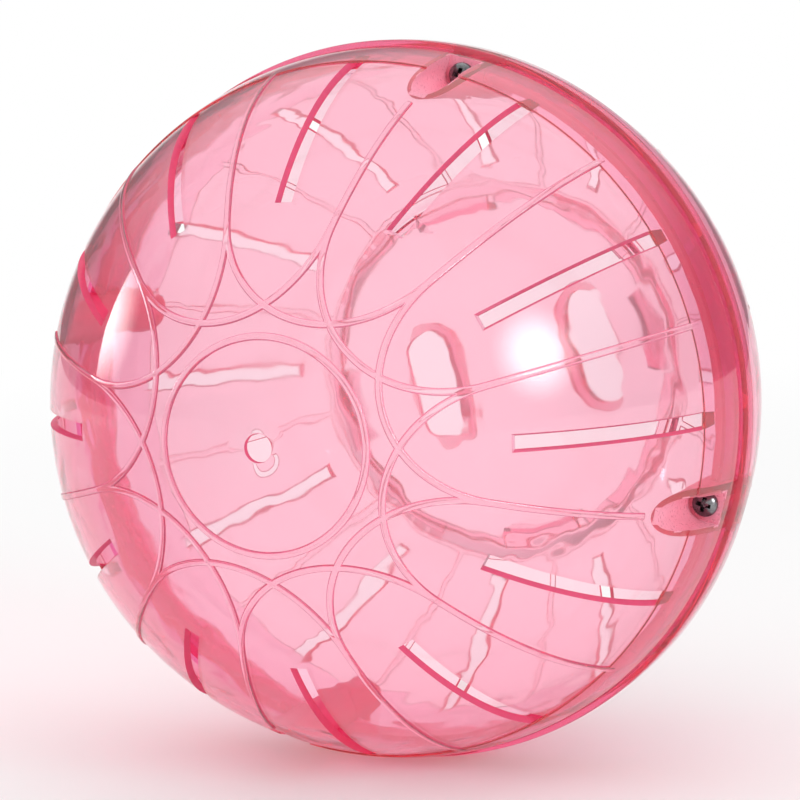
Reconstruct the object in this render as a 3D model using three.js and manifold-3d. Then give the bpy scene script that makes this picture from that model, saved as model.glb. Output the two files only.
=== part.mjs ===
// Hamster ball: two moulded cups screwed together at a raised rim, with a round door at the back.
// Lengths are in millimetres. The ball's axis lies along Y: the front pole looks toward -Y and
// the door toward +Y. Angles round the axis are in degrees from +Z toward +X. A distance called
// radius, near or far, is measured from the axis. The origin is the centre of the ball.

import * as THREE from 'three';
import { mergeVertices } from 'three/addons/utils/BufferGeometryUtils.js';
import Module from 'manifold-3d';

const wasm = await Module();
wasm.setup();

// Ball
const domeRadius = 73.5;
const wall = 1.4;
const gap = 0.3; // between pieces that seat on or nest in each other

// Rim where the cups meet, and the smooth belt beside it
const rimRadius = 75;
const rimThickness = 3.55; // of each cup
const beltHalfWidth = 20.5;
const beltProud = 0.3;

// Lip of the back cup, nested inside the front cup
const lipDepth = 12;
const lipWall = 1.8;
const lipRoot = 4;

// Raised ribs and rings
const ribWidth = 1.4;
const ribHeight = 0.4;
const ribIntoBelt = 0.6; // by which the ribs run on past the belt's edge
const loopNear = 24.5; // nearest point of a loop rib's centre line
const ringRadius = 21.3;

// Pole of the front cup
const poleHoleRadius = 2.75;
const poleLandRadius = 6;

// Air vents, the same number in each cup, with a rib halfway between two
const ventCount = 12;
const ventWidth = 3.1;
const ventToBelt = 0.2;
const frontVentNear = 44.8;
const ventToMouth = 7.1;

// Screw pockets in the front cup and the bosses behind them
const screwCount = 4;
const firstScrewAngle = 15;
const screwInset = 3.8; // from the dome's widest circle to the screws' axes
const pocketWidth = 6.8;
const pocketWall = 1.5;
const pocketFloor = 9; // height of the screw's seat over the seam
const backBossLength = 14;
const screwHoleRadius = 1.6;

// Screws
const screwHeadRadius = 2.6;
const screwHeadHeight = 2;
const screwHeadEdge = 0.9; // height of the head's upright edge
const screwShoulderRadius = 2.4;
const screwCrownRadius = 1.56;
const screwReach = 9.5; // past the seam
const crossLength = 3.2;
const crossWidth = 0.8;
const crossDepth = 1.1;

// Door mouth in the back cup
const mouthRadius = 40.6;
const mouthToBead = 2;
const ledgeWidth = 2.2;
const ledgeThickness = 1.8;

// Door, with tabs that hang from it inside the ledge and carry its lugs
const doorClearance = 0.4;
const tabClearance = 0.5;
const tabWall = 1.6;
const lugCount = 4;
const lugAngle = 75;
const lugSpan = 27;
const lugThickness = 1.6;
const notchClearance = 1.5; // degrees, on each side of a lug
const lockTurn = 40; // from the notch to the locking pad
const lockPadSpan = 28;
const lockPadThickness = 1.2;

// Finger slots in the door
const slotAngle = 75;
const slotOffset = 20;
const slotLength = 26;
const slotWidth = 11;
const collarWall = 2;
const collarDepth = 2.2;

// Facets of the round surfaces
const roundSides = 48;
const arcStep = 10; // degrees, along a meridian
const shortestStep = 2; // degrees, between an arc's end and its next point
const curveSegments = 4;
const bandSegments = 2;
const screwSides = 12;

// How far a tool runs past the faces that it crosses, inside the ball and outside it
const overlap = 1;
const overshoot = 10;

// Sizes that follow
const innerRadius = domeRadius - wall;
const beltRadius = domeRadius + beltProud;
const beltStart = heightOn(domeRadius, beltHalfWidth);
const seam = gap / 2;
const rimEdge = seam + rimThickness;
const outside = rimRadius + overshoot;
const spacing = 360 / ventCount;
const ribFar = beltStart + ribIntoBelt;
const ventFar = beltStart - ventToBelt;
const backVentNear = mouthRadius + ventToMouth;
const screwSpacing = 360 / screwCount;
const screwCircle = domeRadius - screwInset;
const pocketOuterHalf = pocketWidth / 2 + pocketWall;
const lipOuterRadius = innerRadius - gap;
const lipInnerRadius = lipOuterRadius - lipWall;
const beadNear = mouthRadius + mouthToBead;
const beadFar = beadNear + ribWidth;
const doorRadius = mouthRadius - doorClearance;
const doorSeat = heightOn(innerRadius, doorRadius);
const ledgeRadius = mouthRadius - ledgeWidth;
const ledgeTop = doorSeat - gap;
const ledgeBottom = ledgeTop - ledgeThickness;
const lockPadBottom = ledgeBottom - lockPadThickness;
const tabOuter = ledgeRadius - tabClearance;
const tabInner = tabOuter - tabWall;
const lugFar = doorRadius - doorClearance;
const lugTop = lockPadBottom - gap;
const lugBottom = lugTop - lugThickness;

function radians(degrees) {
  return degrees * Math.PI / 180;
}

function heightOn(radius, distance) {
  return Math.sqrt(radius * radius - distance * distance);
}

// Points on a sphere from one distance off the axis to another, on the front (-1) or back (1)
// side: both ends, and between them every whole step, so that like surfaces share their facets
function arc(radius, side, from, to) {
  const step = radians(arcStep);
  const shortest = radians(shortestStep);
  const start = Math.asin(from / radius);
  const end = Math.asin(to / radius);
  const low = Math.min(start, end);
  const high = Math.max(start, end);
  const angles = [low];
  for (let i = Math.ceil((low + shortest) / step); i * step < high - shortest; i++) {
    angles.push(i * step);
  }
  angles.push(high);
  if (start > end) angles.reverse();
  return angles.map((angle) => [radius * Math.sin(angle), side * radius * Math.cos(angle)]);
}

function solid(geometry) {
  geometry.deleteAttribute('normal');
  geometry.deleteAttribute('uv');
  const merged = mergeVertices(geometry);
  const corners = merged.index.array;
  const kept = [];
  for (let i = 0; i < corners.length; i += 3) {
    const [a, b, c] = corners.slice(i, i + 3);
    if (a !== b && b !== c && c !== a) kept.push(a, b, c);
  }
  return new wasm.Manifold(new wasm.Mesh({
    numProp: 3,
    vertProperties: merged.attributes.position.array,
    triVerts: new Uint32Array(kept),
  }));
}

// A profile of [distance from the axis, height along the axis] turned round the axis
function turned(profile, sides = roundSides) {
  const points = profile.map(([distance, height]) => new THREE.Vector2(distance, height));
  const halfFacet = Math.PI / sides;
  return new THREE.LatheGeometry(points, sides, halfFacet, 2 * Math.PI);
}

// An outline in X and Z, extruded along the axis from high down to low and turned to its angle
function prism(outline, low, high, angle, segments = curveSegments) {
  const options = { depth: 1, bevelEnabled: false, curveSegments: segments };
  const geometry = new THREE.ExtrudeGeometry(outline, options);
  const corners = geometry.attributes.position;
  for (let i = 0; i < corners.count; i++) {
    const height = corners.getZ(i) > 0.5 ? low : high;
    corners.setXYZ(i, corners.getX(i), height, corners.getY(i));
  }
  geometry.rotateY(radians(angle));
  return solid(geometry);
}

function anglesOf(count, first) {
  return Array.from({ length: count }, (unused, i) => first + i * 360 / count);
}

function addAll(body, pieces) {
  return pieces.reduce((whole, piece) => whole.add(piece), body);
}

function cutAll(body, pieces) {
  return pieces.reduce((whole, piece) => whole.subtract(piece), body);
}

function barOutline(width, near, far) {
  const shape = new THREE.Shape();
  shape.moveTo(-width / 2, near);
  shape.lineTo(width / 2, near);
  shape.lineTo(width / 2, far);
  shape.lineTo(-width / 2, far);
  shape.closePath();
  return shape;
}

// A pocket's outline: round toward the axis, and open outward
function pocketOutline(half) {
  const shape = new THREE.Shape();
  shape.moveTo(-half, outside);
  shape.absarc(0, screwCircle, half, Math.PI, 2 * Math.PI, false);
  shape.lineTo(half, outside);
  shape.closePath();
  return shape;
}

function circleOutline(radius, distance) {
  const shape = new THREE.Shape();
  shape.absarc(0, distance, radius, 0, 2 * Math.PI, false);
  return shape;
}

// A band between two distances from the axis, over a span of degrees
function bandOutline(near, far, span) {
  const shape = new THREE.Shape();
  const start = radians(90 - span / 2);
  const end = radians(90 + span / 2);
  shape.absarc(0, 0, far, start, end, false);
  shape.absarc(0, 0, near, end, start, true);
  shape.closePath();
  return shape;
}

// A slot with round ends, lying across the direction to the axis
function slotOutline(margin) {
  const round = slotWidth / 2 + margin;
  const straight = (slotLength - slotWidth) / 2;
  const shape = new THREE.Shape();
  shape.absarc(straight, slotOffset, round, -Math.PI / 2, Math.PI / 2, false);
  shape.absarc(-straight, slotOffset, round, Math.PI / 2, 3 * Math.PI / 2, false);
  shape.closePath();
  return shape;
}

// A loop rib is an arc that touches the straight ribs one spacing away on each side
const loopCentre = loopNear / (1 - Math.sin(radians(spacing)));
const loopRadius = loopCentre - loopNear;
const loopTouch = loopCentre * Math.cos(radians(spacing));

function loopOutline() {
  const start = radians(270 - (90 - spacing));
  const end = radians(270 + (90 - spacing));
  const shape = new THREE.Shape();
  shape.absarc(0, loopCentre, loopRadius + ribWidth / 2, start, end, false);
  shape.absarc(0, loopCentre, loopRadius - ribWidth / 2, end, start, true);
  shape.closePath();
  return shape;
}

// The layer of a cup's dome that the ribs occupy, rooted in the wall
function ribLayer(side) {
  const outer = arc(domeRadius + ribHeight, side, ringRadius, ribFar);
  const inner = arc(domeRadius - ribHeight, side, ribFar, ringRadius);
  const profile = [...outer, ...inner];
  if (side > 0) profile.reverse();
  return solid(turned([...profile, profile[0]]));
}

// One half of the ball filled solid, to trim a boss to the outer surface
function filledHalf(side) {
  const profile = [
    ...arc(domeRadius, side, 0, beltStart),
    ...arc(beltRadius, side, heightOn(beltRadius, beltHalfWidth), beltRadius),
    [0, 0],
  ];
  if (side > 0) profile.reverse();
  return solid(turned(profile));
}

function screwAngles() {
  return anglesOf(screwCount, firstScrewAngle);
}

function ribAngles() {
  return anglesOf(ventCount, spacing / 2);
}

function isAtScrew(angle) {
  return (angle - firstScrewAngle) % screwSpacing === 0;
}

function frontProfile() {
  const landHeight = heightOn(domeRadius, poleLandRadius);
  const ringNear = ringRadius - ribWidth;
  const outer = [
    [poleHoleRadius, -landHeight],
    ...arc(domeRadius, -1, poleLandRadius, ringNear),
    ...arc(domeRadius + ribHeight, -1, ringNear, ringRadius),
    ...arc(domeRadius, -1, ringRadius, beltStart),
    ...arc(beltRadius, -1, heightOn(beltRadius, beltHalfWidth), heightOn(beltRadius, rimEdge)),
    [rimRadius, -rimEdge],
    [rimRadius, -seam],
  ];
  const inner = arc(innerRadius, -1, heightOn(innerRadius, seam), poleHoleRadius);
  return [...outer, ...inner, outer[0]];
}

function frontRibs() {
  const low = -outside;
  const pocketTip = screwCircle - pocketOuterHalf;
  const loops = ribAngles().map((angle) => prism(loopOutline(), low, 0, angle));
  const lines = ribAngles().map((angle) => {
    const far = isAtScrew(angle) ? pocketTip : ribFar + overlap;
    return prism(barOutline(ribWidth, loopTouch - ribWidth, far), low, 0, angle);
  });
  return addAll(loops[0], [...loops.slice(1), ...lines]).intersect(ribLayer(-1));
}

function frontShell() {
  const bosses = screwAngles()
    .map((angle) => prism(pocketOutline(pocketOuterHalf), -outside, -seam, angle))
    .map((boss) => boss.intersect(filledHalf(-1)));
  const pockets = screwAngles()
    .map((angle) => prism(pocketOutline(pocketWidth / 2), -outside, -pocketFloor, angle));
  const holes = screwAngles()
    .map((angle) => prism(circleOutline(screwHoleRadius, screwCircle), -outside, outside, angle));
  const vents = anglesOf(ventCount, 0)
    .map((angle) => prism(barOutline(ventWidth, frontVentNear, ventFar), -outside, 0, angle));
  const cup = addAll(solid(turned(frontProfile())), [frontRibs(), ...bosses]);
  return cutAll(cup, [...pockets, ...holes, ...vents]);
}

function backProfile() {
  const lipTip = [heightOn(lipInnerRadius, lipDepth), -lipDepth];
  const lipOutside = [
    ...arc(lipOuterRadius, -1, heightOn(lipOuterRadius, lipDepth), lipOuterRadius),
    [lipOuterRadius, seam],
  ];
  const rim = [
    [rimRadius, seam],
    [rimRadius, rimEdge],
  ];
  const dome = [
    ...arc(beltRadius, 1, heightOn(beltRadius, rimEdge), heightOn(beltRadius, beltHalfWidth)),
    ...arc(domeRadius, 1, beltStart, beadFar),
    ...arc(domeRadius + ribHeight, 1, beadFar, beadNear),
    ...arc(domeRadius, 1, beadNear, mouthRadius),
  ];
  const ledge = [
    [mouthRadius, ledgeTop],
    [ledgeRadius, ledgeTop],
    [ledgeRadius, ledgeBottom],
  ];
  const inside = [
    ...arc(innerRadius, 1, heightOn(innerRadius, ledgeBottom), heightOn(innerRadius, lipRoot)),
    ...arc(lipInnerRadius, 1, heightOn(lipInnerRadius, lipRoot / 2), lipInnerRadius),
    ...arc(lipInnerRadius, -1, lipInnerRadius, lipTip[0]).slice(1),
  ];
  return [lipTip, ...lipOutside, ...rim, ...dome, ...ledge, ...inside];
}

function backRibs() {
  const near = (beadNear + beadFar) / 2;
  const lines = ribAngles()
    .map((angle) => prism(barOutline(ribWidth, near, ribFar + overlap), 0, outside, angle));
  return addAll(lines[0], lines.slice(1)).intersect(ribLayer(1));
}

function backShell() {
  const bosses = screwAngles()
    .map((angle) => prism(pocketOutline(pocketOuterHalf), seam, backBossLength, angle))
    .map((boss) => boss.intersect(filledHalf(1)));
  const pads = anglesOf(lugCount, lugAngle - lockTurn).map((angle) => {
    const outline = bandOutline(ledgeRadius, mouthRadius, lockPadSpan);
    const high = ledgeBottom + ledgeThickness / 2;
    return prism(outline, lockPadBottom, high, angle, bandSegments);
  });
  const lipGaps = screwAngles()
    .map((angle) => prism(pocketOutline(pocketOuterHalf + gap), -outside, seam, angle));
  const holes = screwAngles()
    .map((angle) => prism(circleOutline(screwHoleRadius, screwCircle), 0, screwReach + overlap, angle));
  const vents = anglesOf(ventCount, 0)
    .map((angle) => prism(barOutline(ventWidth, backVentNear, ventFar), lipRoot + overlap, outside, angle));
  const notches = anglesOf(lugCount, lugAngle).map((angle) => {
    const far = lugFar + doorClearance;
    const outline = bandOutline(ledgeRadius - overlap, far, lugSpan + 2 * notchClearance);
    return prism(outline, ledgeBottom - overlap, ledgeTop + overlap, angle, bandSegments);
  });
  const cup = cutAll(solid(turned(backProfile())), lipGaps);
  return cutAll(addAll(cup, [backRibs(), ...bosses, ...pads]), [...holes, ...vents, ...notches]);
}

function door() {
  const cap = solid(turned([
    ...arc(innerRadius, 1, 0, doorRadius),
    ...arc(domeRadius, 1, doorRadius, 0),
  ]));
  const collarFloor = heightOn(innerRadius, slotOffset) - collarDepth;
  const collars = anglesOf(2, slotAngle)
    .map((angle) => prism(slotOutline(collarWall), collarFloor, outside, angle))
    .map((collar) => collar.intersect(filledHalf(1)));
  const slots = anglesOf(2, slotAngle).map((angle) => prism(slotOutline(0), 0, outside, angle));
  const tabTop = heightOn(domeRadius, tabOuter) - wall / 4;
  const tabs = anglesOf(lugCount, lugAngle).flatMap((angle) => [
    prism(bandOutline(tabInner, tabOuter, lugSpan), lugBottom, tabTop, angle, bandSegments),
    prism(bandOutline(tabInner, lugFar, lugSpan), lugBottom, lugTop, angle, bandSegments),
  ]);
  return cutAll(addAll(cap, [...collars, ...tabs]), slots);
}

function screwProfile() {
  const seat = -pocketFloor - gap;
  const edge = seat - screwHeadEdge;
  const top = seat - screwHeadHeight;
  const shank = screwHoleRadius - gap;
  return [
    [0, top],
    [screwCrownRadius, top],
    [screwShoulderRadius, (top + edge) / 2],
    [screwHeadRadius, edge],
    [screwHeadRadius, seat],
    [shank, seat],
    [shank, screwReach - shank],
    [0, screwReach],
  ];
}

function screw() {
  const top = -pocketFloor - gap - screwHeadHeight;
  const arm = barOutline(crossWidth, -crossLength / 2, crossLength / 2);
  const cross = [0, 90].map((angle) => prism(arm, top - overlap, top + crossDepth, angle));
  return cutAll(solid(turned(screwProfile(), screwSides)), cross);
}

function meshOf(name, body, material) {
  const { vertProperties, triVerts } = body.getMesh();
  const geometry = new THREE.BufferGeometry();
  geometry.setAttribute('position', new THREE.BufferAttribute(vertProperties, 3));
  geometry.setIndex(new THREE.BufferAttribute(triVerts, 1));
  geometry.computeVertexNormals();
  const mesh = new THREE.Mesh(geometry, material);
  mesh.name = name;
  return mesh;
}

function pinkPlastic(color) {
  return new THREE.MeshStandardMaterial({
    color,
    roughness: 0.1,
    metalness: 0,
    transparent: true,
    opacity: 0.6,
    side: THREE.DoubleSide,
  });
}

const frontPlastic = pinkPlastic(0xf58aa4);
const backPlastic = pinkPlastic(0xf27c98);
const doorPlastic = pinkPlastic(0xf07391);
const steel = new THREE.MeshStandardMaterial({ color: 0x8d8f93, roughness: 0.28, metalness: 1 });

const ball = new THREE.Group();
ball.add(meshOf('front_shell', frontShell(), frontPlastic));
ball.add(meshOf('back_shell', backShell(), backPlastic));
ball.add(meshOf('door', door(), doorPlastic));

screwAngles().forEach((angle, i) => {
  const mesh = meshOf(`screw_${i + 1}`, screw(), steel);
  mesh.position.set(screwCircle * Math.sin(radians(angle)), 0, screwCircle * Math.cos(radians(angle)));
  mesh.rotation.y = radians(angle);
  ball.add(mesh);
});

export default ball;
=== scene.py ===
"""Hamster ball in clear pink plastic: two vented cups screwed together at a rim, and a door."""

import math

import bmesh
import bpy
from mathutils import Matrix, Vector


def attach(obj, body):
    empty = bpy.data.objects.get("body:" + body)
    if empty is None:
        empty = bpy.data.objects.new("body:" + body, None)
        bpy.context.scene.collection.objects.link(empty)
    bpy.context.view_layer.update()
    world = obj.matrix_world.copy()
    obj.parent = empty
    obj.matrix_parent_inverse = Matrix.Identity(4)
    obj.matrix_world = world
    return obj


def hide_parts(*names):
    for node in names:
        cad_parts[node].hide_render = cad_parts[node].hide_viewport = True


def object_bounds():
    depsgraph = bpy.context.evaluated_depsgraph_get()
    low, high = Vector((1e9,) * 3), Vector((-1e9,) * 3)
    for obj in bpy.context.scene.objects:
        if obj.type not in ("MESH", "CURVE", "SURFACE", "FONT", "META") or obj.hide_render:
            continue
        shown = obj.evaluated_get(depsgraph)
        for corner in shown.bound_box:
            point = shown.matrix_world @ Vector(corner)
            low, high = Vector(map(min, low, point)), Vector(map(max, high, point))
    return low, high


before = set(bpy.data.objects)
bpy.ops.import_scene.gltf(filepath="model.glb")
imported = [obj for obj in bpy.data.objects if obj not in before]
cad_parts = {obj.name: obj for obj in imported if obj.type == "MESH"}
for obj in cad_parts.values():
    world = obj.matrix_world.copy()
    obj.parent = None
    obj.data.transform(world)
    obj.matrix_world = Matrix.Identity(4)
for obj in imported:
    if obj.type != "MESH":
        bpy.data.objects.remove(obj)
cad_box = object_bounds()

# Lengths are in millimetres until a piece is finished. The ball's axis lies along Y, the front
# pole looks toward -Y, and angles round the axis are in degrees from +Z toward +X.
MM = 0.001
TINY = 1e-6

# Ball
DOME_RADIUS = 73.5
WALL = 1.4
BELT_RADIUS = 73.8
BELT_HALF_WIDTH = 20.5
RIM_RADIUS = 74.8
RIM_EDGE = 3.7
RIM_ROUND = 0.45
SEAM = 0.06
EDGE_ROUND = 0.25

# Lip of the back cup, nested inside the front cup
LIP_OUTER_RADIUS = 71.85
LIP_INNER_RADIUS = 70
LIP_DEPTH = 10.5
LIP_ROOT = 4

# Raised ribs and rings
RIB_WIDTH = 1.45
RIB_HEIGHT = 0.35
RIB_SQUARENESS = 4
RIB_ROOT = 0.4
RIB_INTO_BELT = 0.6
LOOP_NEAR = 24.5
RING_RADIUS = 20.7

# Pole of the front cup
POLE_HOLE_RADIUS = 2.75
POLE_LAND_RADIUS = 6

# Air vents
VENT_COUNT = 12
VENT_OUTER_WIDTH = 3.5
VENT_INNER_WIDTH = 2.5
FRONT_VENT_NEAR = 44.8
BACK_VENT_NEAR = 47.7
VENT_TO_BELT = 0.2

# Screw pockets and bosses
FIRST_SCREW_ANGLE = 15
SCREW_COUNT = 4
SCREW_CIRCLE = 69.7
POCKET_WIDTH = 6.8
POCKET_WALL = 1.5
POCKET_FLOOR = 9
BACK_BOSS_LENGTH = 14
SCREW_HOLE_RADIUS = 1.6
LIP_CLEARANCE = 0.3

# Screws
HEAD_RADIUS = 2.6
HEAD_EDGE = 0.55
HEAD_HEIGHT = 2
HEAD_SEAT = 0.05
SHANK_RADIUS = 1.15
SCREW_REACH = 9.5
SCREW_POINT = 1.5
CROSS_LENGTH = 3.2
CROSS_WIDTH = 0.85
CROSS_STRAIGHT = 0.12
CROSS_DEPTH = 1.3
CROSS_TAPER = 0.45

# Thread, with the half width of its foot as a share of the pitch, that of its crest as a share
# of the foot, and its least height as a share of the whole
THREAD_RADIUS = 1.5
THREAD_PITCH = 1.1
THREAD_START = 1.5
THREAD_ROOT = 0.2
THREAD_FOOT = 0.3
THREAD_CREST = 0.15
THREAD_LEAST = 0.05

# Door mouth
MOUTH_RADIUS = 40.6
MOUTH_TO_BEAD = 2
LEDGE_WIDTH = 2.2
LEDGE_THICKNESS = 1.8

# Door, with tabs that hang from it inside the ledge and carry its lugs
DOOR_CLEARANCE = 0.4
DOOR_SEAT_GAP = 0.1
TAB_CLEARANCE = 0.5
TAB_WALL = 1.6
LUG_COUNT = 4
LUG_ANGLE = 75
LUG_SPAN = 27
LUG_THICKNESS = 1.6
LUG_GAP = 0.5
NOTCH_CLEARANCE = 1.5
LOCK_TURN = 40
LOCK_PAD_SPAN = 28
LOCK_PAD_THICKNESS = 1.2
SLOT_ANGLE = 75
SLOT_OFFSET = 20
SLOT_LENGTH = 26
SLOT_WIDTH = 11
COLLAR_WALL = 2
COLLAR_DEPTH = 2.2

# Fineness of the round surfaces
SIDES = 240
ARC_STEP = 2
OUTLINE_STEP = 6
PATH_STEPS = 60
RIB_STEPS = 8
HEAD_STEPS = 8
SCREW_SIDES = 48
THREAD_STEPS = 24
SPHERE_TOLERANCE = 0.03
SHARP_ANGLE = 32

# How faces are told apart for their finish and their painted shade: a length, and cosines
# under which a face is steep to the sphere and over which it looks away from the axis
EDGE_MARGIN = 0.06
STEEP = 0.9
LOOKS_AWAY = 0.7

# Levels of painted shade, from 0 to 1: the deeper tint of the belts, and the diffuse pink of
# edges, rib flanks and the inside of openings, which also stands for their rougher finish
BELT_SHADE_TINT = 0.4
FLANK_LEVEL = 0.6
INSIDE_LEVEL = 0.5
FACING_OUT_LEVEL = 0.15


def height_on(radius, distance):
    return math.sqrt(radius * radius - distance * distance)


OVERLAP = 1
OUTSIDE = RIM_RADIUS + 10
INNER_RADIUS = DOME_RADIUS - WALL
MIDDLE_OF_WALL = DOME_RADIUS - WALL / 2
BELT_START = height_on(DOME_RADIUS, BELT_HALF_WIDTH)
RIB_FAR = BELT_START + RIB_INTO_BELT
VENT_FAR = BELT_START - VENT_TO_BELT
SPACING = 360 / VENT_COUNT
LOOP_CENTRE = LOOP_NEAR / (1 - math.sin(math.radians(SPACING)))
POCKET_OUTER_HALF = POCKET_WIDTH / 2 + POCKET_WALL
BEAD_MIDDLE = MOUTH_RADIUS + MOUTH_TO_BEAD + RIB_WIDTH / 2
DOOR_RADIUS = MOUTH_RADIUS - DOOR_CLEARANCE
DOOR_SEAT = height_on(INNER_RADIUS, DOOR_RADIUS)
LEDGE_RADIUS = MOUTH_RADIUS - LEDGE_WIDTH
LEDGE_TOP = DOOR_SEAT - DOOR_SEAT_GAP
LEDGE_BOTTOM = LEDGE_TOP - LEDGE_THICKNESS
LEDGE_MARGIN = LEDGE_WIDTH * 1.5
LOCK_PAD_BOTTOM = LEDGE_BOTTOM - LOCK_PAD_THICKNESS
TAB_OUTER = LEDGE_RADIUS - TAB_CLEARANCE
TAB_INNER = TAB_OUTER - TAB_WALL
LUG_FAR = DOOR_RADIUS - DOOR_CLEARANCE
LUG_TOP = LOCK_PAD_BOTTOM - LUG_GAP
LUG_BOTTOM = LUG_TOP - LUG_THICKNESS


# Placing points

def angles_of(count, first):
    return [first + i * 360 / count for i in range(count)]


def screw_angles():
    return angles_of(SCREW_COUNT, FIRST_SCREW_ANGLE)


def rib_angles():
    return angles_of(VENT_COUNT, SPACING / 2)


def around(across, height, outward, angle):
    """A point given across, along the axis and away from it, turned to its angle."""
    turn = math.radians(angle)
    x = across * math.cos(turn) + outward * math.sin(turn)
    z = outward * math.cos(turn) - across * math.sin(turn)
    return Vector((x, height, z))


def arc(radius, side, near, far):
    """Points on a sphere from one distance off the axis to another, front (-1) or back (1)."""
    start = math.asin(near / radius)
    end = math.asin(far / radius)
    steps = max(1, math.ceil(abs(end - start) / math.radians(ARC_STEP)))
    turns = [start + (end - start) * i / steps for i in range(steps + 1)]
    return [(radius * math.sin(t), side * radius * math.cos(t)) for t in turns]


def circle_part(centre, radius, start, end):
    """Points on an arc in a flat outline, with the angles in degrees."""
    steps = max(2, math.ceil(abs(end - start) / OUTLINE_STEP))
    turns = [math.radians(start + (end - start) * i / steps) for i in range(steps + 1)]
    return [(centre[0] + radius * math.cos(t), centre[1] + radius * math.sin(t)) for t in turns]


def rib_section():
    """Points over a rib from side to side: flat on top and round at both shoulders."""
    points = []
    for i in range(RIB_STEPS + 1):
        across = -math.cos(math.pi * i / RIB_STEPS)
        rise = RIB_HEIGHT * math.sqrt(1 - abs(across) ** RIB_SQUARENESS)
        points.append((across * RIB_WIDTH / 2, rise))
    return points


def bead(side, middle):
    """A rib's section on the dome, as profile points going away from the axis."""
    points = []
    for across, rise in rib_section():
        turn = math.asin((middle + across) / DOME_RADIUS)
        radius = DOME_RADIUS + rise
        points.append((radius * math.sin(turn), side * radius * math.cos(turn)))
    return points


def rounded(corner, before, after, radius):
    """Replaces a profile corner by three points of a round edge."""
    corner, before, after = Vector(corner), Vector(before), Vector(after)
    first = corner + (before - corner).normalized() * radius
    last = corner + (after - corner).normalized() * radius
    middle = corner * 0.5 + (first + last) * 0.25
    return [tuple(first), tuple(middle), tuple(last)]


# Making solids

def new_object(name, points, faces):
    mesh = bpy.data.meshes.new(name)
    mesh.from_pydata([tuple(p) for p in points], [], faces)
    piece = bpy.data.objects.new(name, mesh)
    bpy.context.scene.collection.objects.link(piece)
    made = bmesh.new()
    made.from_mesh(mesh)
    if made.calc_volume(signed=True) < 0:
        bmesh.ops.reverse_faces(made, faces=made.faces)
    made.to_mesh(mesh)
    made.free()
    return piece


def turned(name, profile, sides=SIDES):
    """A solid turned round the axis from (distance, height) points, which either start and end
    on the axis or close on themselves."""
    points = []
    rings = []
    for distance, height in profile:
        if distance < TINY:
            rings.append([len(points)] * sides)
            points.append((0, height, 0))
        else:
            rings.append(list(range(len(points), len(points) + sides)))
            points.extend(around(0, height, distance, i * 360 / sides) for i in range(sides))
    pairs = list(zip(rings, rings[1:]))
    if profile[0][0] >= TINY:
        pairs.append((rings[-1], rings[0]))
    faces = []
    for ring, following in pairs:
        for i in range(sides):
            j = (i + 1) % sides
            corners = [ring[i], ring[j], following[j], following[i]]
            faces.append(list(dict.fromkeys(corners)))
    return new_object(name, points, faces)


def lofted(name, rings):
    """A solid through rings with the same number of points, closed by a flat end at each side."""
    size = len(rings[0])
    points = [p for ring in rings for p in ring]
    faces = [list(range(size)), list(range(len(points) - 1, len(points) - 1 - size, -1))]
    for k in range(len(rings) - 1):
        for i in range(size):
            j = (i + 1) % size
            low = k * size
            high = low + size
            faces.append([low + j, low + i, high + i, high + j])
    return new_object(name, points, faces)


def prism(outline, low, high, angle):
    rings = [[around(x, height, z, angle) for x, z in outline] for height in (low, high)]
    return lofted("prism", rings)


def combined(body, tools, operation):
    """The body joined with, cut by or kept inside each tool in turn."""
    for tool in tools:
        step = body.modifiers.new("step", "BOOLEAN")
        step.operation = operation
        step.solver = "MANIFOLD"
        step.object = tool
    graph = bpy.context.evaluated_depsgraph_get()
    made = bpy.data.meshes.new_from_object(body.evaluated_get(graph))
    body.modifiers.clear()
    body.data = made
    for tool in tools:
        bpy.data.objects.remove(tool)
    return body


def joined(body, tools):
    return combined(body, tools, "UNION")


def cut(body, tools):
    return combined(body, tools, "DIFFERENCE")


def kept(body, tool):
    return combined(body, [tool], "INTERSECT")


# Outlines, with X across and Z away from the axis

def pocket_outline(half):
    bottom = circle_part((0, SCREW_CIRCLE), half, 180, 360)
    return [(-half, OUTSIDE)] + bottom + [(half, OUTSIDE)]


def screw_hole_outline():
    return circle_part((0, SCREW_CIRCLE), SCREW_HOLE_RADIUS, 0, 360)[:-1]


def band_outline(near, far, span):
    start = 90 - span / 2
    end = 90 + span / 2
    return circle_part((0, 0), far, start, end) + circle_part((0, 0), near, end, start)


def slot_outline(margin):
    radius = SLOT_WIDTH / 2 + margin
    straight = (SLOT_LENGTH - SLOT_WIDTH) / 2
    right = circle_part((straight, SLOT_OFFSET), radius, -90, 90)
    left = circle_part((-straight, SLOT_OFFSET), radius, 90, 270)
    return right + left


# Ribs that follow a path on the dome

def rib(path, side):
    """A rounded rib along a path of (across, outward) points that lies on the dome."""
    spots = [Vector((x, side * height_on(DOME_RADIUS, math.hypot(x, z)), z)) for x, z in path]
    rings = []
    for i, spot in enumerate(spots):
        before = spots[max(i - 1, 0)]
        after = spots[min(i + 1, len(spots) - 1)]
        up = spot.normalized()
        across = (after - before).cross(up).normalized()
        left = (-RIB_WIDTH / 2, -RIB_ROOT)
        right = (RIB_WIDTH / 2, -RIB_ROOT)
        rings.append([spot + across * x + up * rise for x, rise in [left, *rib_section(), right]])
    return lofted("rib", rings)


def turned_path(path, angle):
    spots = [around(x, 0, z, angle) for x, z in path]
    return [(spot.x, spot.z) for spot in spots]


def line_path(near, far):
    return [(0, near + (far - near) * i / PATH_STEPS) for i in range(PATH_STEPS + 1)]


def loop_path():
    """An arc that touches the straight ribs one spacing away on each side."""
    radius = LOOP_CENTRE - LOOP_NEAR
    half = 90 - SPACING
    turns = [math.radians(270 - half + 2 * half * i / PATH_STEPS) for i in range(PATH_STEPS + 1)]
    return [(radius * math.cos(t), LOOP_CENTRE + radius * math.sin(t)) for t in turns]


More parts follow.
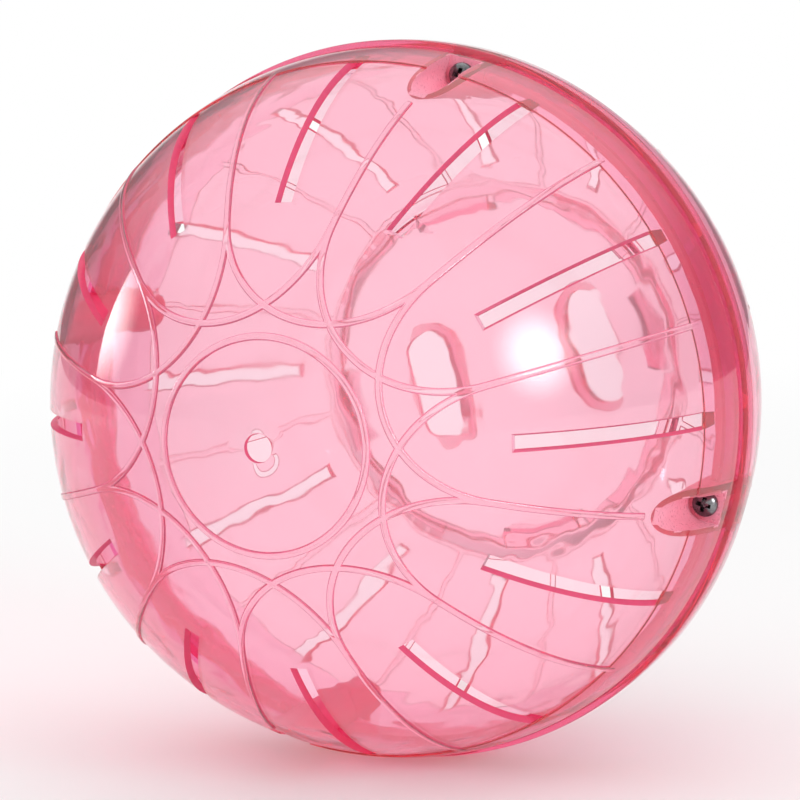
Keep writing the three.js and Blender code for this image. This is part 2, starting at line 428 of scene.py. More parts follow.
def vent(side, near, far, angle, inner_end):
    """A cutter for one vent, with sides that draw in toward the inner surface."""
    rings = []
    wide = VENT_OUTER_WIDTH / 2
    narrow = VENT_INNER_WIDTH / 2
    for i in range(PATH_STEPS + 1):
        outward = near + (far - near) * i / PATH_STEPS
        outer = height_on(DOME_RADIUS, outward)
        inner = height_on(INNER_RADIUS, outward)
        section = [
            (-wide, outer + OVERLAP),
            (wide, outer + OVERLAP),
            (wide, outer),
            (narrow, inner),
            (narrow, inner_end),
            (-narrow, inner_end),
            (-narrow, inner),
            (-wide, outer),
        ]
        rings.append([around(x, side * height, outward, angle) for x, height in section])
    return lofted("vent", rings)


# Front cup

def front_profile():
    land = height_on(DOME_RADIUS, POLE_LAND_RADIUS)
    ring_near = RING_RADIUS - RIB_WIDTH / 2
    ring_far = RING_RADIUS + RIB_WIDTH / 2
    belt_near = height_on(BELT_RADIUS, BELT_HALF_WIDTH)
    rim_foot = (height_on(BELT_RADIUS, RIM_EDGE), -RIM_EDGE)
    rim_front = (RIM_RADIUS, -RIM_EDGE)
    rim_back = (RIM_RADIUS, -SEAM)
    inner_edge = (height_on(INNER_RADIUS, SEAM), -SEAM)
    hole_back = (POLE_HOLE_RADIUS, -height_on(INNER_RADIUS, POLE_HOLE_RADIUS))
    hole_front = (POLE_HOLE_RADIUS, -land)
    return [
        *rounded(hole_front, hole_back, (POLE_LAND_RADIUS, -land), EDGE_ROUND),
        *arc(DOME_RADIUS, -1, POLE_LAND_RADIUS, ring_near)[:-1],
        *bead(-1, RING_RADIUS),
        *arc(DOME_RADIUS, -1, ring_far, BELT_START)[1:],
        *arc(BELT_RADIUS, -1, belt_near, rim_foot[0]),
        *rounded(rim_front, rim_foot, rim_back, RIM_ROUND),
        rim_back,
        *arc(INNER_RADIUS, -1, inner_edge[0], POLE_HOLE_RADIUS)[:-1],
        hole_back,
    ]


def ball_core(radius, side):
    """Half of a solid sphere, to trim bosses and collars inside the wall."""
    profile = [*arc(radius, side, 0, radius), (0, 0)]
    profile[0] = (0, side * radius)
    return turned("core", profile)


def trimmed_boss(half, low, high, angle, side):
    boss = prism(pocket_outline(half), low, high, angle)
    return kept(boss, ball_core(MIDDLE_OF_WALL, side))


def front_ribs():
    """Straight ribs that start where the loops touch them, and the loops."""
    tip = SCREW_CIRCLE - POCKET_OUTER_HALF
    touch = LOOP_CENTRE * math.cos(math.radians(SPACING))
    made = []
    for angle in rib_angles():
        at_screw = (angle - FIRST_SCREW_ANGLE) % (360 / SCREW_COUNT) == 0
        far = tip if at_screw else RIB_FAR
        made.append(rib(turned_path(line_path(touch - RIB_WIDTH, far), angle), -1))
        made.append(rib(turned_path(loop_path(), angle), -1))
    return made


def make_front_shell():
    shell = turned("front_shell_clear", front_profile())
    bosses = [trimmed_boss(POCKET_OUTER_HALF, -OUTSIDE, -SEAM, a, -1) for a in screw_angles()]
    joined(shell, front_ribs() + bosses)
    pocket = pocket_outline(POCKET_WIDTH / 2)
    tools = [prism(pocket, -OUTSIDE, -POCKET_FLOOR, a) for a in screw_angles()]
    tools += [prism(screw_hole_outline(), -OUTSIDE, OUTSIDE, a) for a in screw_angles()]
    tools += [vent(-1, FRONT_VENT_NEAR, VENT_FAR, a, 0) for a in angles_of(VENT_COUNT, 0)]
    return cut(shell, tools)


# Back cup

def back_profile():
    lip_tip = height_on(LIP_INNER_RADIUS, LIP_DEPTH)
    lip_far = height_on(LIP_OUTER_RADIUS, LIP_DEPTH)
    belt_near = height_on(BELT_RADIUS, BELT_HALF_WIDTH)
    rim_foot = (height_on(BELT_RADIUS, RIM_EDGE), RIM_EDGE)
    rim_front = (RIM_RADIUS, SEAM)
    rim_back = (RIM_RADIUS, RIM_EDGE)
    bead_near = BEAD_MIDDLE - RIB_WIDTH / 2
    bead_far = BEAD_MIDDLE + RIB_WIDTH / 2
    mouth_edge = (MOUTH_RADIUS, height_on(DOME_RADIUS, MOUTH_RADIUS))
    mouth_foot = (MOUTH_RADIUS, LEDGE_TOP)
    outer_edge = arc(DOME_RADIUS, 1, bead_near, MOUTH_RADIUS)
    root = height_on(INNER_RADIUS, LIP_ROOT)
    lip_start = height_on(LIP_INNER_RADIUS, LIP_ROOT / 2)
    return [
        (lip_tip, -LIP_DEPTH),
        *arc(LIP_OUTER_RADIUS, -1, lip_far, LIP_OUTER_RADIUS),
        (LIP_OUTER_RADIUS, SEAM),
        rim_front,
        *rounded(rim_back, rim_front, rim_foot, RIM_ROUND),
        *arc(BELT_RADIUS, 1, rim_foot[0], belt_near),
        *arc(DOME_RADIUS, 1, BELT_START, bead_far)[:-1],
        *bead(1, BEAD_MIDDLE)[::-1],
        *outer_edge[1:-1],
        *rounded(mouth_edge, outer_edge[-2], mouth_foot, EDGE_ROUND),
        mouth_foot,
        *rounded((LEDGE_RADIUS, LEDGE_TOP), mouth_foot, (LEDGE_RADIUS, LEDGE_BOTTOM), EDGE_ROUND),
        (LEDGE_RADIUS, LEDGE_BOTTOM),
        *arc(INNER_RADIUS, 1, height_on(INNER_RADIUS, LEDGE_BOTTOM), root),
        *arc(LIP_INNER_RADIUS, 1, lip_start, LIP_INNER_RADIUS),
        *arc(LIP_INNER_RADIUS, -1, LIP_INNER_RADIUS, lip_tip)[1:-1],
    ]


def make_back_shell():
    shell = turned("back_shell_clear", back_profile())
    gaps = pocket_outline(POCKET_OUTER_HALF + LIP_CLEARANCE)
    cut(shell, [prism(gaps, -OUTSIDE, SEAM / 2, a) for a in screw_angles()])
    parts = [rib(turned_path(line_path(BEAD_MIDDLE, RIB_FAR), a), 1) for a in rib_angles()]
    parts += [trimmed_boss(POCKET_OUTER_HALF, SEAM, BACK_BOSS_LENGTH, a, 1) for a in screw_angles()]
    pad = band_outline(LEDGE_RADIUS, MOUTH_RADIUS, LOCK_PAD_SPAN)
    pad_top = LEDGE_BOTTOM + LEDGE_THICKNESS / 2
    pad_angles = angles_of(LUG_COUNT, LUG_ANGLE - LOCK_TURN)
    parts += [prism(pad, LOCK_PAD_BOTTOM, pad_top, a) for a in pad_angles]
    joined(shell, parts)
    notch_span = LUG_SPAN + 2 * NOTCH_CLEARANCE
    notch = band_outline(LEDGE_RADIUS - OVERLAP, LUG_FAR + DOOR_CLEARANCE, notch_span)
    hole_end = SCREW_REACH + OVERLAP
    tools = [prism(screw_hole_outline(), 0, hole_end, a) for a in screw_angles()]
    tools += [
        vent(1, BACK_VENT_NEAR, VENT_FAR, a, LIP_ROOT + OVERLAP)
        for a in angles_of(VENT_COUNT, 0)
    ]
    tools += [
        prism(notch, LEDGE_BOTTOM - OVERLAP, LEDGE_TOP + OVERLAP, a)
        for a in angles_of(LUG_COUNT, LUG_ANGLE)
    ]
    return cut(shell, tools)


# Door

def door_profile():
    edge = (DOOR_RADIUS, height_on(DOME_RADIUS, DOOR_RADIUS))
    foot = (DOOR_RADIUS, DOOR_SEAT)
    inner = arc(INNER_RADIUS, 1, 0, DOOR_RADIUS)
    outer = arc(DOME_RADIUS, 1, DOOR_RADIUS, 0)
    return [
        (0, INNER_RADIUS),
        *inner[1:-1],
        *rounded(foot, inner[-2], edge, EDGE_ROUND),
        *rounded(edge, foot, outer[1], EDGE_ROUND),
        *outer[1:-1],
        (0, DOME_RADIUS),
    ]


def make_door():
    door = turned("door_clear", door_profile())
    collar_floor = height_on(INNER_RADIUS, SLOT_OFFSET) - COLLAR_DEPTH
    parts = []
    for angle in angles_of(2, SLOT_ANGLE):
        collar = prism(slot_outline(COLLAR_WALL), collar_floor, OUTSIDE, angle)
        parts.append(kept(collar, ball_core(MIDDLE_OF_WALL, 1)))
    tab = band_outline(TAB_INNER, TAB_OUTER, LUG_SPAN)
    lug = band_outline(TAB_INNER, LUG_FAR, LUG_SPAN)
    tab_top = height_on(DOME_RADIUS, TAB_OUTER) - WALL / 4
    for angle in angles_of(LUG_COUNT, LUG_ANGLE):
        parts.append(prism(tab, LUG_BOTTOM, tab_top, angle))
        parts.append(prism(lug, LUG_BOTTOM, LUG_TOP, angle))
    joined(door, parts)
    return cut(door, [prism(slot_outline(0), 0, OUTSIDE, a) for a in angles_of(2, SLOT_ANGLE)])


# Screws, made on the axis and then moved out to their places

def head_profile(seat):
    """The head's round top, from the axis outward, and its edge down to the seat."""
    top = seat - HEAD_HEIGHT
    dome = HEAD_HEIGHT - HEAD_EDGE
    chamfer = HEAD_EDGE / 4
    points = [(0, top)]
    for i in range(1, HEAD_STEPS + 1):
        turn = math.radians(90 * i / HEAD_STEPS)
        points.append((HEAD_RADIUS * math.sin(turn), top + dome * (1 - math.cos(turn))))
    points.append((HEAD_RADIUS, seat - chamfer))
    points.append((HEAD_RADIUS - chamfer, seat))
    return points


def thread(low, high):
    """A helical ridge round the shank that rises over its first turn and sinks over its last."""
    turns = (high - low) / THREAD_PITCH
    steps = int(turns * THREAD_STEPS)
    root = SHANK_RADIUS - THREAD_ROOT
    foot = THREAD_PITCH * THREAD_FOOT
    crest = foot * THREAD_CREST
    rings = []
    for i in range(steps + 1):
        height = low + (high - low) * i / steps
        fade = min(1, i / THREAD_STEPS, (steps - i) / THREAD_STEPS)
        top = SHANK_RADIUS + (THREAD_RADIUS - SHANK_RADIUS) * max(fade, THREAD_LEAST)
        angle = 360 * turns * i / steps
        section = [(root, -foot), (top, -crest), (top, crest), (root, foot)]
        rings.append([around(0, height + rise, distance, angle) for distance, rise in section])
    return lofted("thread", rings)


def cross_arm(top, angle):
    """One arm of the cross recess, which shortens with depth and narrows half as much."""
    rings = []
    for depth, share in ((-OVERLAP, 1), (0, 1), (CROSS_DEPTH, CROSS_TAPER)):
        x = CROSS_WIDTH / 2 * (1 + share) / 2
        z = CROSS_LENGTH / 2 * share
        corners = [(-x, -z), (x, -z), (x, z), (-x, z)]
        rings.append([around(across, top + depth, out, angle) for across, out in corners])
    return lofted("arm", rings)


def make_screw(name, angle):
    seat = -POCKET_FLOOR - HEAD_SEAT
    point = SCREW_REACH - SCREW_POINT
    recess = seat - HEAD_HEIGHT + CROSS_STRAIGHT
    profile = [
        *head_profile(seat),
        (SHANK_RADIUS, seat),
        (SHANK_RADIUS, point),
        (0, SCREW_REACH),
    ]
    screw = turned(name, profile, SCREW_SIDES)
    joined(screw, [thread(-POCKET_FLOOR + THREAD_START, point)])
    cut(screw, [cross_arm(recess, a) for a in (0, 90)])
    for vertex in screw.data.vertices:
        x, y, z = vertex.co
        vertex.co = around(x, y, SCREW_CIRCLE + z, angle)
    return screw


# Finishing a piece

def smooth_normals(piece, radii):
    """Gives faces that lie on a sphere the sphere's own normals, so that no facet shows."""
    mesh = piece.data
    for polygon in mesh.polygons:
        polygon.use_smooth = True
    mesh.set_sharp_from_angle(angle=math.radians(SHARP_ANGLE))
    distances = [v.co.length for v in mesh.vertices]
    normals = [(0.0, 0.0, 0.0)] * len(mesh.loops)
    for polygon in mesh.polygons:
        corners = [distances[i] for i in polygon.vertices]
        on_sphere = any(all(abs(d - r) < SPHERE_TOLERANCE for d in corners) for r in radii)
        along = polygon.normal.dot(polygon.center.normalized())
        if on_sphere and abs(along) > STEEP:
            side = math.copysign(1, along)
            for k in polygon.loop_indices:
                place = mesh.vertices[mesh.loops[k].vertex_index].co
                normals[k] = tuple(place.normalized() * side)
    mesh.normals_split_custom_set(normals)


def from_screw(place):
    """Distance to the middle of the nearest screw pocket, which is open outward."""
    turned_back = [around(place.x, place.y, place.z, -angle) for angle in screw_angles()]
    return min(math.hypot(spot.x, min(0, spot.z - SCREW_CIRCLE)) for spot in turned_back)


def inner_level(place, normal):
    """Everything inside the middle of the wall is wavy."""
    return 1 if place.length < MIDDLE_OF_WALL else 0


def lip_shade_level(place, normal):
    """Painted shade: the nested lip is the deepest pink, standing for the darkness of its doubled
    walls, and the belts and the rim get part of it.
    """
    in_lip = -LIP_DEPTH - OVERLAP < place.y < 0 and place.length < INNER_RADIUS
    on_belt = place.length > BELT_RADIUS - EDGE_MARGIN and abs(place.y) < BELT_HALF_WIDTH
    if in_lip:
        return 1
    return BELT_SHADE_TINT if on_belt else 0


def frost_level(place, normal):
    """The inside of the screw pockets is frosted."""
    across_pocket = from_screw(place) < POCKET_WIDTH / 2 + EDGE_MARGIN
    return 1 if across_pocket and place.y < -POCKET_FLOOR + EDGE_MARGIN else 0


def edge_shade_level(place, normal):
    """Edges of openings, collars and bosses are cut or moulded rougher, and so are rib flanks.
    Their diffuse pink is painted shade for the dark lines that light bent through the plastic draws
    along them. The smooth surfaces, the mouth's ledge and the rim are left out, and in an opening
    the faces that look away from the axis are faint."""
    away = math.hypot(place.x, place.z)
    below = INNER_RADIUS - place.length
    steep = abs(normal.dot(place.normalized())) < STEEP
    near_ledge = place.y > 0 and abs(away - LEDGE_RADIUS) < LEDGE_MARGIN
    if near_ledge or frost_level(place, normal):
        return 0
    if place.length > DOME_RADIUS + EDGE_MARGIN / 2:
        return FLANK_LEVEL if steep and away < BELT_START else 0
    if min(abs(below), DOME_RADIUS - place.length) < EDGE_MARGIN:
        return 0
    if from_screw(place) < POCKET_OUTER_HALF + EDGE_MARGIN:
        return 1
    if away > VENT_FAR + EDGE_MARGIN:
        return 0
    if below > 0:
        return INSIDE_LEVEL
    if not steep:
        return 0
    looks_away = normal.x * place.x + normal.z * place.z > LOOKS_AWAY * away
    return FACING_OUT_LEVEL if looks_away else 1


def mark_faces(piece, name, level):
    """Stores a level for each face, from its middle and its normal, for a material to read."""
    mark = piece.data.attributes.new(name, "FLOAT", "FACE")
    levels = [float(level(face.center, face.normal)) for face in piece.data.polygons]
    mark.data.foreach_set("value", levels)


def finish_piece(piece, body, node, material, radii=()):
    piece.data.materials.clear()
    piece.data.materials.append(material)
    smooth_normals(piece, radii)
    piece.data.transform(Matrix.Scale(MM, 4))
    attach(piece, body)
    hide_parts(node)


# Materials, with wavelengths and depths in metres

# Share of each colour that the dye lets pass, and how dense it is per metre
DYE = (0.965, 0.42, 0.61)
FRONT_DENSITY = 440
BACK_DENSITY = 270

# Clear plastic, tinted at its surface in patches, and made deeper pink on the lip and belts as
# painted shade
PLASTIC_IOR = 1.5
TRANSMISSION = 0.95
PALE_TINTS = ((1, 0.96, 0.97), (1, 1, 1))
PALE_PATCH = 0.012
DEEP_SHADE_TINTS = ((0.86, 0.2, 0.54), (0.9, 0.26, 0.6))
DEEP_PATCH = 0.006
SHADOW_TINT = (1, 0.8, 0.85)

# Roughness of the polished faces, and what the frost adds to it
SMEAR_ROUGHNESS = (0.02, 0.06)
SMEAR_LENGTH = 0.02
FROST_ROUGHNESS = (0.15, 0.5)
FROST_LENGTH = 0.0006

# Bumps of the inner faces, of the frost and of every face
WAVE_LENGTH = 0.011
WAVE_DEPTH = 0.00016
GRAIN_LENGTH = 0.0007
GRAIN_DEPTH = 0.0002
SKIN_LENGTH = 0.004
SKIN_DEPTH = 0.000002

# Diffuse pinks: painted shade along the edges, and the frosted pockets' own pink
EDGE_SHADE_PINK = (0.82, 0.13, 0.27)
EDGE_PATCH = 0.0015
FROST_PINK = (0.95, 0.4, 0.52)
DIFFUSE_SHARE = 0.75
DARKENING = 0.75

# Steel, in patches of its own tone, kept dark as painted shade for the dark surroundings it
# reflects
STEEL_TONE_AND_SHADE = ((0.06, 0.06, 0.065), (0.26, 0.26, 0.27))
STEEL_PATCH = 0.0016
STEEL_ROUGHNESS = (0.12, 0.35)
RUB_LENGTH = 0.0009
PIT_LENGTH = 0.0005
PIT_DEPTH = 0.00004

# Usual range of a noise texture's values
NOISE_RANGE = (0.3, 0.7)

# Sockets of a colour mix
MIX_FACTOR = 0
MIX_FIRST = 6
MIX_SECOND = 7
MIX_RESULT = 2


def new_material(name):
    material = bpy.data.materials.new(name)
    material.use_nodes = True
    material.node_tree.nodes.clear()
    return material, material.node_tree


def node(tree, kind, **inputs):
    made = tree.nodes.new(kind)
    for key, value in inputs.items():
        made.inputs[key.replace("_", " ")].default_value = value
    return made


def noise(tree, wavelength, detail=2, distortion=0):
    """Noise in the piece's own space, with its wavelength in metres."""
    place = tree.nodes.new("ShaderNodeTexCoord")
    scale = 1 / wavelength
    made = node(tree, "ShaderNodeTexNoise", Scale=scale, Detail=detail, Distortion=distortion)
    tree.links.new(place.outputs["Object"], made.inputs["Vector"])
    return made.outputs["Fac"]


def face_mark(tree, name):
    made = tree.nodes.new("ShaderNodeAttribute")
    made.attribute_name = name
    return made.outputs["Fac"]


def maths(tree, operation, first, second):
    made = tree.nodes.new("ShaderNodeMath")
    made.operation = operation
    for socket, value in zip(made.inputs, (first, second)):
        if isinstance(value, (int, float)):
            socket.default_value = value
        else:
            tree.links.new(value, socket)
    return made.outputs["Value"]


def ranged(tree, value, source, target):
    """A node that carries a value over from one range to another."""
    made = tree.nodes.new("ShaderNodeMapRange")
    for name, limit in zip(("From Min", "From Max", "To Min", "To Max"), (*source, *target)):
        made.inputs[name].default_value = limit
    tree.links.new(value, made.inputs["Value"])
    return made


def spread(tree, value, low, high):
    """A noise value carried over from its usual range to one from low to high."""
    return ranged(tree, value, NOISE_RANGE, (low, high)).outputs["Result"]


def smooth_step(tree, value, source, target):
    """A value carried over to another range, with a soft start and end."""
    made = ranged(tree, value, source, target)
    made.interpolation_type = "SMOOTHSTEP"
    return made.outputs["Result"]


def mixed(tree, factor, first, second):
    """The first colour where the factor is 0 and the second where it is 1. Each is a colour or
    the output of a node."""
    made = tree.nodes.new("ShaderNodeMix")
    made.data_type = "RGBA"
    tree.links.new(factor, made.inputs[MIX_FACTOR])
    for i, colour in ((MIX_FIRST, first), (MIX_SECOND, second)):
        if isinstance(colour, tuple):
            made.inputs[i].default_value = (*colour, 1)
        else:
            tree.links.new(colour, made.inputs[i])
    return made.outputs[MIX_RESULT]


def patchy(tree, colour, mark):
    """A colour that darkens in patches."""
    return mixed(tree, mark, tuple(channel * DARKENING for channel in colour), colour)


def uneven(tree, height, depth, before=None):
    """Bumps of a depth, over those from before."""
    made = node(tree, "ShaderNodeBump", Strength=1, Distance=depth)
    tree.links.new(height, made.inputs["Height"])
    if before:
        tree.links.new(before, made.inputs["Normal"])
    return made.outputs["Normal"]


def blended(tree, share, first, second):
    """The first shader where the share is 0 and the second where it is 1."""
    made = tree.nodes.new("ShaderNodeMixShader")
    tree.links.new(share, made.inputs["Fac"])
    tree.links.new(first, made.inputs[1])
    tree.links.new(second, made.inputs[2])
    return made.outputs["Shader"]


def glassy(tree, inner, frost):
    """Clear plastic, polished outside, wavy inside and frosted in the screw pockets, with painted
    shade in its colour on the lip and belts.
    """
    surface = node(tree, "ShaderNodeBsdfPrincipled", IOR=PLASTIC_IOR)
    surface.inputs["Transmission Weight"].default_value = TRANSMISSION
    pale = mixed(tree, noise(tree, PALE_PATCH), *PALE_TINTS)
    # Painted shade: the lip mark turns the colour to the darker pinks on the lip and belts
    deep_shade = mixed(tree, noise(tree, DEEP_PATCH), *DEEP_SHADE_TINTS)
    tint_and_shade = mixed(tree, face_mark(tree, "lip"), pale, deep_shade)
    tree.links.new(tint_and_shade, surface.inputs["Base Color"])
    smears = spread(tree, noise(tree, SMEAR_LENGTH, detail=4, distortion=1), *SMEAR_ROUGHNESS)
    speckle = spread(tree, noise(tree, FROST_LENGTH, detail=3), *FROST_ROUGHNESS)
    roughness = maths(tree, "ADD", smears, maths(tree, "MULTIPLY", frost, speckle))
    tree.links.new(roughness, surface.inputs["Roughness"])
    waves = maths(tree, "MULTIPLY", inner, noise(tree, WAVE_LENGTH, detail=1, distortion=0.6))
    grain = maths(tree, "MULTIPLY", frost, noise(tree, GRAIN_LENGTH, detail=3))
    normal = uneven(tree, waves, WAVE_DEPTH)
    normal = uneven(tree, grain, GRAIN_DEPTH, normal)
    normal = uneven(tree, noise(tree, SKIN_LENGTH), SKIN_DEPTH, normal)
    tree.links.new(normal, surface.inputs["Normal"])
    return surface.outputs["BSDF"]


def plastic(name, density):
    """Clear pink plastic that is diffuse at its edges, where a saturated pink is painted shade, and
    frosted and diffuse in the screw pockets. It lets pink light through to what lies in its
    shadow, and absorbs more the thicker it is."""
    material, tree = new_material(name)
    output = tree.nodes.new("ShaderNodeOutputMaterial")
    frost = face_mark(tree, "frost")
    clear = glassy(tree, face_mark(tree, "inner"), frost)
    # Painted shade: the saturated edge pink stands for the dark lines that bent light draws along
    # edges
    edge_shade_pink = patchy(tree, EDGE_SHADE_PINK, noise(tree, EDGE_PATCH, detail=3))
    frost_pink = patchy(tree, FROST_PINK, noise(tree, GRAIN_LENGTH, detail=3))
    edge_shade_and_frost = tree.nodes.new("ShaderNodeBsdfDiffuse")
    tree.links.new(mixed(tree, frost, edge_shade_pink, frost_pink), edge_shade_and_frost.inputs["Color"])
    marked = maths(tree, "MAXIMUM", face_mark(tree, "edge"), frost)
    share = maths(tree, "MULTIPLY", marked, DIFFUSE_SHARE)
    body = blended(tree, share, clear, edge_shade_and_frost.outputs["BSDF"])
    passing = node(tree, "ShaderNodeBsdfTransparent", Color=(*SHADOW_TINT, 1))
    path = tree.nodes.new("ShaderNodeLightPath")
    either = blended(tree, path.outputs["Is Shadow Ray"], body, passing.outputs["BSDF"])
    inside = node(tree, "ShaderNodeVolumeAbsorption", Color=(*DYE, 1), Density=density)
    tree.links.new(either, output.inputs["Surface"])
    tree.links.new(inside.outputs["Volume"], output.inputs["Volume"])
    return material


def steel(name):
    """Steel kept dark as painted shade for the dark surroundings that it reflects, in patches of
    its own tone, with small pits and rubbed patches.
    """
    material, tree = new_material(name)
    output = tree.nodes.new("ShaderNodeOutputMaterial")
    surface = node(tree, "ShaderNodeBsdfPrincipled", Metallic=1)
    patches = spread(tree, noise(tree, STEEL_PATCH, detail=4), 0, 1)
    rubs = spread(tree, noise(tree, RUB_LENGTH, detail=3), *STEEL_ROUGHNESS)
    pits = uneven(tree, noise(tree, PIT_LENGTH, detail=3), PIT_DEPTH)
    # Painted shade: the low steel tones stand for the dark surroundings that the heads reflect
    tree.links.new(mixed(tree, patches, *STEEL_TONE_AND_SHADE), surface.inputs["Base Color"])
    tree.links.new(rubs, surface.inputs["Roughness"])
    tree.links.new(pits, surface.inputs["Normal"])
    tree.links.new(surface.outputs["BSDF"], output.inputs["Surface"])
    return material


def make_ball():
    metal = steel("screw_steel")
    radii = (DOME_RADIUS, BELT_RADIUS, INNER_RADIUS, LIP_OUTER_RADIUS, LIP_INNER_RADIUS)
    # The lip and edge marks carry painted shade into the plastic's colour
    levels = {"inner": inner_level, "frost": frost_level, "lip": lip_shade_level, "edge": edge_shade_level}
    cups = (
        (make_front_shell(), "ball", "front_shell", "shell_plastic", FRONT_DENSITY),
        (make_back_shell(), "ball", "back_shell", "shell_plastic", BACK_DENSITY),
        (make_door(), "door", "door", "door_plastic", BACK_DENSITY),
    )
    for cup, body, name, slot, density in cups:
        for mark, level in levels.items():
            mark_faces(cup, mark, level)
        finish_piece(cup, body, name, plastic(f"{name}_clear", density), radii)
    for i, angle in enumerate(screw_angles()):
        screw = make_screw(f"screw_{i + 1}_steel", angle)
        finish_piece(screw, "ball", f"screw_{i + 1}", metal)


# Placing the camera and the lamps, with azimuth from the front pole toward +X

def direction_to(azimuth, elevation):
    """A direction from the ball, of length 1."""
    turn = math.radians(azimuth)
    rise = math.radians(elevation)
    level = math.cos(rise)
    return Vector((math.sin(turn) * level, -math.cos(turn) * level, math.sin(rise)))


def facing_ball(azimuth, elevation, distance):
    """The matrix of something that looks back at the ball from a direction and a distance."""
    away = direction_to(azimuth, elevation)
    facing = (-away).to_track_quat("-Z", "Y").to_matrix().to_4x4()
    return Matrix.Translation(away * distance) @ facing


# Camera, at the photograph's angle

CAMERA_AZIMUTH = 21.971
CAMERA_ELEVATION = 7.474
CAMERA_ROLL = 1.703
CAMERA_DISTANCE = 0.6312
CAMERA_LENS = 136.35
CAMERA_SHIFT = (-0.00636, 0.00121)
CAMERA_NEAR = 0.01


def make_camera():
    camera = bpy.data.objects.new("camera", bpy.data.cameras.new("camera"))
    bpy.context.scene.collection.objects.link(camera)
    camera.data.lens = CAMERA_LENS
    camera.data.shift_x, camera.data.shift_y = CAMERA_SHIFT
    camera.data.clip_start = CAMERA_NEAR
    camera.matrix_world = (
        Matrix.Rotation(math.radians(CAMERA_ROLL), 4, "Y")
        @ facing_ball(CAMERA_AZIMUTH, CAMERA_ELEVATION, CAMERA_DISTANCE)
    )
    bpy.context.scene.camera = camera


# Studio: white behind, above and in front of the ball, dimmer at its sides, a pale floor and
# two lamps. Directions are (azimuth, elevation) and edges are cosines from them, where the
# light starts to rise and where it is full.

BACKDROP_DIRECTION = (202, -5)
BACKDROP_EDGE = (0.92, 0.985)
OVERHEAD_DIRECTION = (0, 90)
OVERHEAD_EDGE = (0.2, 0.67)
OVERHEAD_LEVEL = 1.15
FRONT_DIRECTION = (10, 10)
FRONT_EDGE = (0.1, 0.9)
SURROUND_LEVEL = 0.22

# Floor, which is lit paint under the ball and plain white from some way off. Its whiteness is
# given under the ball, in reflections and through the plastic.
FLOOR_HALF = 3
FLOOR_NEAR = 0.25
FLOOR_FAR = 0.8
FLOOR_PAINT = 0.85
FLOOR_UNDER_BALL = 0.15
FLOOR_IN_GLOSS = 0.3
FLOOR_THROUGH_GLASS = 0.85

# Lamps, with the core where their light is full as a share of its reach
LAMP_DISTANCE = 1.2
LAMP_CORE = 0.05

# How often light may bounce inside the thin, many-layered plastic
LIGHT_BOUNCES = 64
GLOSSY_BOUNCES = 32
TRANSPARENT_BOUNCES = 32


def toward(tree, direction, edge, level):
    """A level that is reached from the surround's where the direction from the ball nears the
    one given."""
    place = tree.nodes.new("ShaderNodeTexCoord")
    dot = tree.nodes.new("ShaderNodeVectorMath")
    dot.operation = "DOT_PRODUCT"
    dot.inputs[1].default_value = direction_to(*direction)
    tree.links.new(place.outputs["Generated"], dot.inputs[0])
    return smooth_step(tree, dot.outputs["Value"], edge, (SURROUND_LEVEL, level))


def make_world():
    world = bpy.data.worlds.new("studio")
    bpy.context.scene.world = world
    world.use_nodes = True
    tree = world.node_tree
    tree.nodes.clear()
    output = tree.nodes.new("ShaderNodeOutputWorld")
    path = tree.nodes.new("ShaderNodeLightPath")
    light = node(tree, "ShaderNodeBackground", Color=(1, 1, 1, 1))
    seen = node(tree, "ShaderNodeBackground", Color=(1, 1, 1, 1), Strength=1)
    backdrop = toward(tree, BACKDROP_DIRECTION, BACKDROP_EDGE, 1)
    front = toward(tree, FRONT_DIRECTION, FRONT_EDGE, 1)
    overhead = toward(tree, OVERHEAD_DIRECTION, OVERHEAD_EDGE, OVERHEAD_LEVEL)
    level = maths(tree, "MAXIMUM", maths(tree, "MAXIMUM", backdrop, front), overhead)
    tree.links.new(level, light.inputs["Strength"])
    shown = blended(
        tree,
        path.outputs["Is Camera Ray"],
        light.outputs["Background"],
        seen.outputs["Background"],
    )
    tree.links.new(shown, output.inputs["Surface"])


def make_lamp(name, azimuth, elevation, size, radiance, middle, reach):
    """A soft area lamp that faces the ball and fades out at a reach from a middle, both given
    as shares of its own square."""
    data = bpy.data.lights.new(name, "AREA")
    data.shape = "RECTANGLE"
    data.size, data.size_y = size
    data.energy = radiance * math.pi * size[0] * size[1]
    data.use_nodes = True
    tree = data.node_tree
    place = tree.nodes.new("ShaderNodeNewGeometry")
    apart = tree.nodes.new("ShaderNodeVectorMath")
    apart.operation = "SUBTRACT"
    apart.inputs[1].default_value = (*middle, 0)
    tree.links.new(place.outputs["Parametric"], apart.inputs[0])
    scaled = tree.nodes.new("ShaderNodeVectorMath")
    scaled.operation = "DIVIDE"
    scaled.inputs[1].default_value = (*reach, 1)
    tree.links.new(apart.outputs["Vector"], scaled.inputs[0])
    far = tree.nodes.new("ShaderNodeVectorMath")
    far.operation = "LENGTH"
    tree.links.new(scaled.outputs["Vector"], far.inputs[0])
    fade = smooth_step(tree, far.outputs["Value"], (1, LAMP_CORE), (0, 1))
    tree.links.new(fade, tree.nodes["Emission"].inputs["Strength"])
    lamp = bpy.data.objects.new(name, data)
    lamp.visible_transmission = False
    bpy.context.scene.collection.objects.link(lamp)
    lamp.matrix_world = facing_ball(azimuth, elevation, LAMP_DISTANCE)


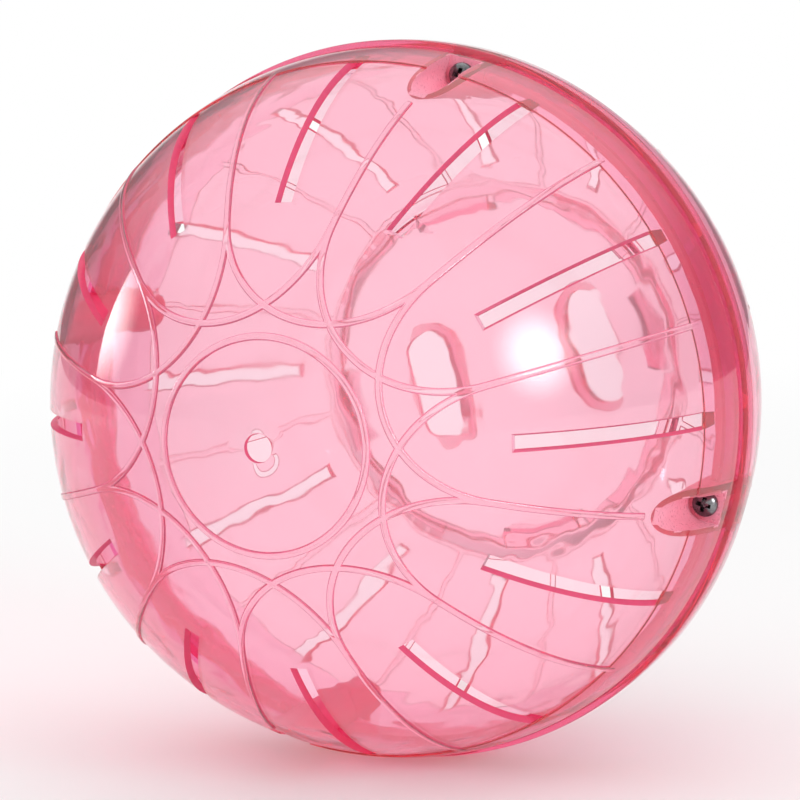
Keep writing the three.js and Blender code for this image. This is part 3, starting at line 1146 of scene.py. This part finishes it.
def floor_whiteness(tree):
    """How far the floor's paint gives way to plain white, for each kind of ray."""
    place = tree.nodes.new("ShaderNodeTexCoord")
    away = tree.nodes.new("ShaderNodeVectorMath")
    away.operation = "LENGTH"
    tree.links.new(place.outputs["Object"], away.inputs[0])
    share = smooth_step(tree, away.outputs["Value"], (FLOOR_NEAR, FLOOR_FAR), (FLOOR_UNDER_BALL, 1))
    path = tree.nodes.new("ShaderNodeLightPath")
    in_gloss = maths(tree, "MULTIPLY", path.outputs["Is Glossy Ray"], FLOOR_IN_GLOSS)
    seen = maths(tree, "MAXIMUM", path.outputs["Is Camera Ray"], in_gloss)
    through = maths(tree, "MULTIPLY", path.outputs["Is Transmission Ray"], FLOOR_THROUGH_GLASS)
    return maths(tree, "MAXIMUM", maths(tree, "MULTIPLY", share, seen), through)


def make_floor():
    far = FLOOR_HALF
    corners = [(-far, -far, 0), (far, -far, 0), (far, far, 0), (-far, far, 0)]
    floor = new_object("floor", corners, [(0, 1, 2, 3)])
    floor.location.z = cad_box[0][2]
    material, tree = new_material("pale_floor")
    output = tree.nodes.new("ShaderNodeOutputMaterial")
    paint = node(tree, "ShaderNodeBsdfDiffuse", Color=(FLOOR_PAINT, FLOOR_PAINT, FLOOR_PAINT, 1))
    white = node(tree, "ShaderNodeEmission", Color=(1, 1, 1, 1), Strength=1)
    whiteness = floor_whiteness(tree)
    shown = blended(tree, whiteness, paint.outputs["BSDF"], white.outputs["Emission"])
    tree.links.new(shown, output.inputs["Surface"])
    floor.data.materials.append(material)


def make_lamps():
    """A round lamp at the right, and at the left one that is brightest at one of its sides."""
    make_lamp(
        "round_lamp",
        azimuth=64.6,
        elevation=17.6,
        size=(0.66, 0.66),
        radiance=16,
        middle=(0.5, 0.5),
        reach=(0.5, 0.5),
    )
    make_lamp(
        "side_lamp",
        azimuth=-82,
        elevation=13,
        size=(0.4, 0.45),
        radiance=12,
        middle=(0, 0.5),
        reach=(0.9, 0.7),
    )


def make_studio():
    make_world()
    make_floor()
    make_lamps()
    cycles = bpy.context.scene.cycles
    cycles.max_bounces = LIGHT_BOUNCES
    cycles.transmission_bounces = LIGHT_BOUNCES
    cycles.glossy_bounces = GLOSSY_BOUNCES
    cycles.transparent_max_bounces = TRANSPARENT_BOUNCES


bpy.context.scene.view_settings.view_transform = "Standard"
make_ball()
make_camera()
make_studio()
